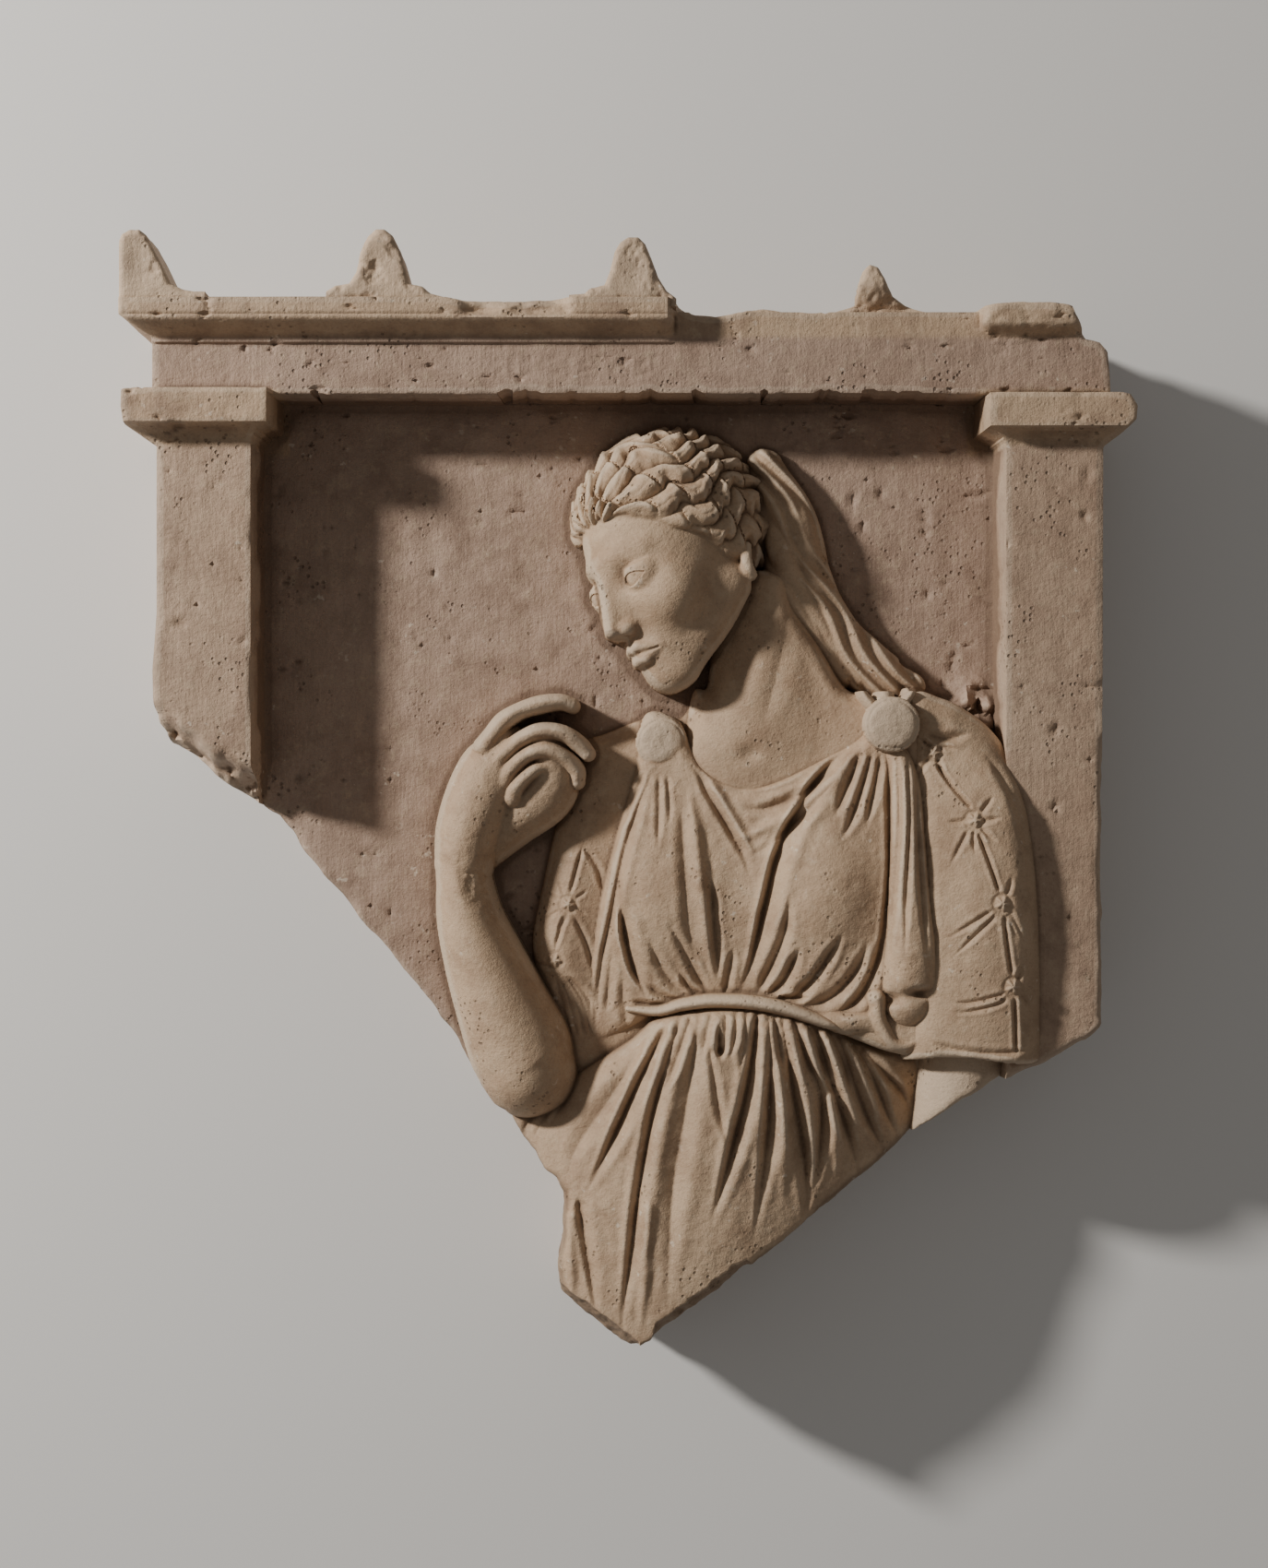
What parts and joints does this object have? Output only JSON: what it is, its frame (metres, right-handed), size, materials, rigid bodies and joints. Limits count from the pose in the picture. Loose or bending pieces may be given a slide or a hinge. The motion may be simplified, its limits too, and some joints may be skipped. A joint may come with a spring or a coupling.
{
  "type": "carved stone stele",
  "caption": "Upper fragment of a marble grave stele: pilasters, entablature and antefixes frame a draped woman in relief, one arm raised, broken away below; one block with a flat back",
  "frame": {"origin": "middle of the flat back that the stele lies on, at the centre of its plan box", "axes": "+X to the right of the relief, +Y to the top of the stele, +Z out of the relief"},
  "size_m": [0.722, 0.802, 0.1416],
  "materials": {
    "marble": "weathered, finely tooled, matt"
  },
  "bodies": {
    "root": {"stele": "marble"}
  },
  "joints": []
}
